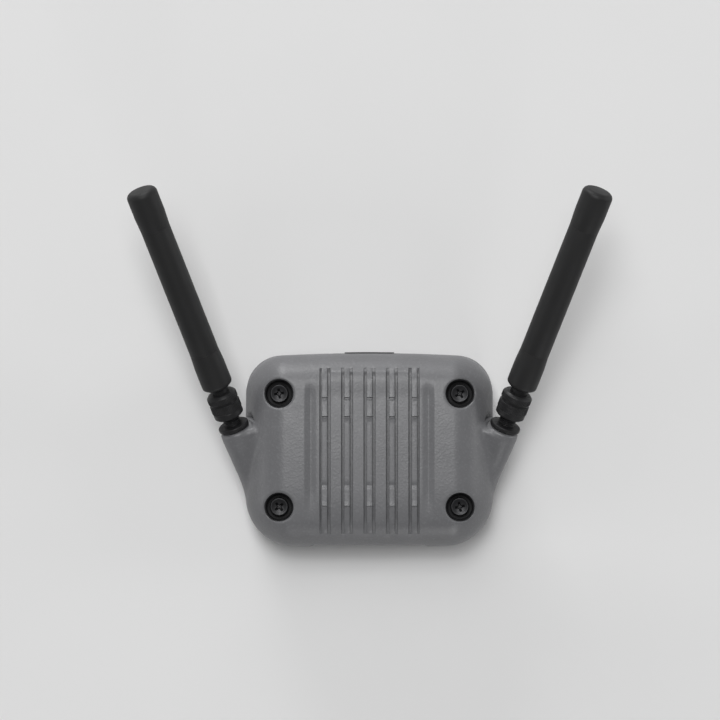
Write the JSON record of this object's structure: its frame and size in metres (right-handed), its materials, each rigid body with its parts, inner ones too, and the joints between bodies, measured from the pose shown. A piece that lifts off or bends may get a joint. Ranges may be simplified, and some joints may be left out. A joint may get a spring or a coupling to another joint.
{
  "type": "wireless receiver unit",
  "caption": "Hand-sized receiver in a grey two-part housing with a ribbed rear cover, angled side bosses and screw-on stick antennas.",
  "frame": {"origin": "mouth of the stand thread, in the middle of the base cover's flat face", "axes": "+Z out of the ribbed rear cover, +Y towards the antenna tips, +X to the right when the ribbed cover faces the viewer"},
  "size_m": [0.1428, 0.1082, 0.05],
  "materials": {
    "shell_grey": "fine-grained moulded satin",
    "base_grey": "fine-grained moulded satin",
    "black_plastic": "fine satin",
    "antenna_black": "soft satin",
    "black_metal": "black zinc plate",
    "screw_black": "black oxide",
    "brass": "machined",
    "steel": "tinned",
    "spring_steel": "bright",
    "rubber": "matt",
    "board_green": "solder mask",
    "chip_black": "moulded",
    "insulator_white": "fluoropolymer",
    "battery_silver": "foil pouch",
    "foam_grey": "closed-cell foam",
    "light_clear": "frosted",
    "led_white": "moulded",
    "coax_jacket": "smooth"
  },
  "bodies": {
    "housing": {"rear_cover": "shell_grey", "base_cover": "base_grey", "seam_gasket": "rubber", "rubber_feet": "rubber", "stand_insert": "brass", "cover_screws": "screw_black", "screw_cups": "rubber", "screw_inserts": "brass", "main_board": "board_green", "board_screws": "steel", "radio_shields": "steel", "radio_chips": "chip_black", "battery_tray": "black_plastic", "battery": "battery_silver", "battery_pad": "foam_grey", "audio_jack": "black_plastic", "charging_socket": "steel", "charging_tongue": "black_plastic", "status_light_pipe": "light_clear", "status_led": "led_white", "power_switch": "chip_black", "pairing_switch": "chip_black", "coax_plugs": "brass", "board_sockets": "brass", "jack_collar_left": "black_metal", "jack_barrel_left": "black_metal", "jack_insulator_left": "insulator_white", "jack_contact_left": "brass", "coax_lead_left": "coax_jacket", "jack_collar_right": "black_metal", "jack_barrel_right": "black_metal", "jack_insulator_right": "insulator_white", "jack_contact_right": "brass", "coax_lead_right": "coax_jacket"},
    "power_button": {"power_button": "rubber", "power_switch_stem": "black_plastic"},
    "pairing_button": {"pairing_button": "rubber", "pairing_switch_stem": "black_plastic"},
    "antenna_left": {"retaining_ring_left": "spring_steel", "antenna_ferrule_left": "black_metal", "plug_insulator_left": "insulator_white", "plug_pin_left": "brass", "antenna_lower_cap_left": "antenna_black", "antenna_sleeve_left": "antenna_black", "antenna_tip_cap_left": "antenna_black", "antenna_radiator_left": "brass"},
    "coupling_nut_left": {"coupling_nut_left": "black_metal"},
    "antenna_right": {"retaining_ring_right": "spring_steel", "antenna_ferrule_right": "black_metal", "plug_insulator_right": "insulator_white", "plug_pin_right": "brass", "antenna_lower_cap_right": "antenna_black", "antenna_sleeve_right": "antenna_black", "antenna_tip_cap_right": "antenna_black", "antenna_radiator_right": "brass"},
    "coupling_nut_right": {"coupling_nut_right": "black_metal"}
  },
  "joints": [
    {"name": "power_press", "type": "slide", "parent": "housing", "child": "power_button", "axis": [0, -1, 0], "range_m": [0, 0.0004], "stiffness_N_per_m": 3000},
    {"name": "pairing_press", "type": "slide", "parent": "housing", "child": "pairing_button", "axis": [-1, 0, 0], "range_m": [0, 0.0003], "stiffness_N_per_m": 3000},
    {"name": "antenna_left_travel", "type": "slide", "parent": "housing", "child": "antenna_left", "axis": [-0.3311, 0.8762, 0.3502], "range_m": [0, 0.00353]},
    {"name": "nut_left_turn", "type": "hinge", "parent": "antenna_left", "child": "coupling_nut_left", "pos_m": [-0.0408, 0.0065, 0.0172], "axis": [-0.3311, 0.8762, 0.3502], "range_deg": [0, 1800]},
    {"name": "antenna_right_travel", "type": "slide", "parent": "housing", "child": "antenna_right", "axis": [0.3311, 0.8762, 0.3502], "range_m": [0, 0.00353]},
    {"name": "nut_right_turn", "type": "hinge", "parent": "antenna_right", "child": "coupling_nut_right", "pos_m": [0.0408, 0.0065, 0.0172], "axis": [0.3311, 0.8762, 0.3502], "range_deg": [0, 1800]}
  ],
  "couplings": [
    {"joint": "nut_left_turn", "follows": "antenna_left_travel", "rad_per_m": 8904.7},
    {"joint": "nut_right_turn", "follows": "antenna_right_travel", "rad_per_m": 8904.7}
  ]
}
